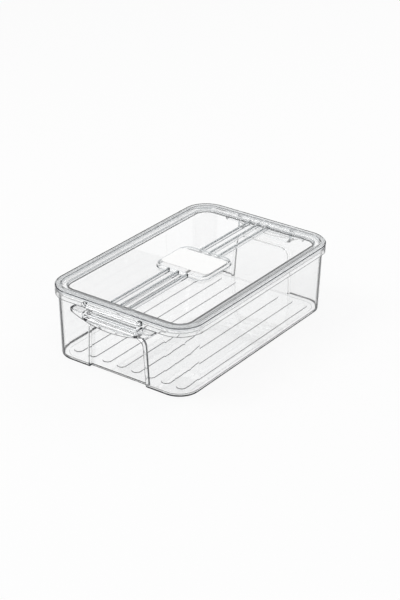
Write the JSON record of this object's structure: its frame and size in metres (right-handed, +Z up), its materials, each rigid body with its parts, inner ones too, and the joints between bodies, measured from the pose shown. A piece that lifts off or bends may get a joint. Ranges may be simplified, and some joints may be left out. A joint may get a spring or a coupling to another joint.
{
  "type": "fridge bin",
  "caption": "Clear rectangular fridge bin with sunk end panels and hooded pulls, a lift-off ribbed lid with a blank label plate, and a hinged snap clip at each short end.",
  "frame": {"origin": "middle of the footprint, on the surface that the bin stands on", "axes": "+X across the bin, +Y along it towards the back end, +Z up; the front end with the front clip faces -Y"},
  "size_m": [0.2102, 0.339, 0.0938],
  "materials": {
    "clear_plastic": "clear, glossy moulding",
    "clear_rubber": "translucent silicone",
    "white_plastic": "matte white, blank"
  },
  "bodies": {
    "bin": {"bin": "clear_plastic"},
    "lid": {"lid": "clear_plastic", "lid_seal": "clear_rubber", "label_plate": "white_plastic"},
    "front_clip": {"front_clip": "clear_plastic"},
    "back_clip": {"back_clip": "clear_plastic"}
  },
  "joints": [
    {"name": "lid_lift", "type": "slide", "parent": "bin", "child": "lid", "axis": [0, 0, 1], "range_m": [0, 0.12]},
    {"name": "front_clip_hinge", "type": "hinge", "parent": "lid", "child": "front_clip", "pos_m": [0, -0.16379, 0.0874], "axis": [-1, 0, 0], "range_deg": [0, 110]},
    {"name": "back_clip_hinge", "type": "hinge", "parent": "lid", "child": "back_clip", "pos_m": [0, 0.16379, 0.0874], "axis": [1, 0, 0], "range_deg": [0, 110]}
  ]
}
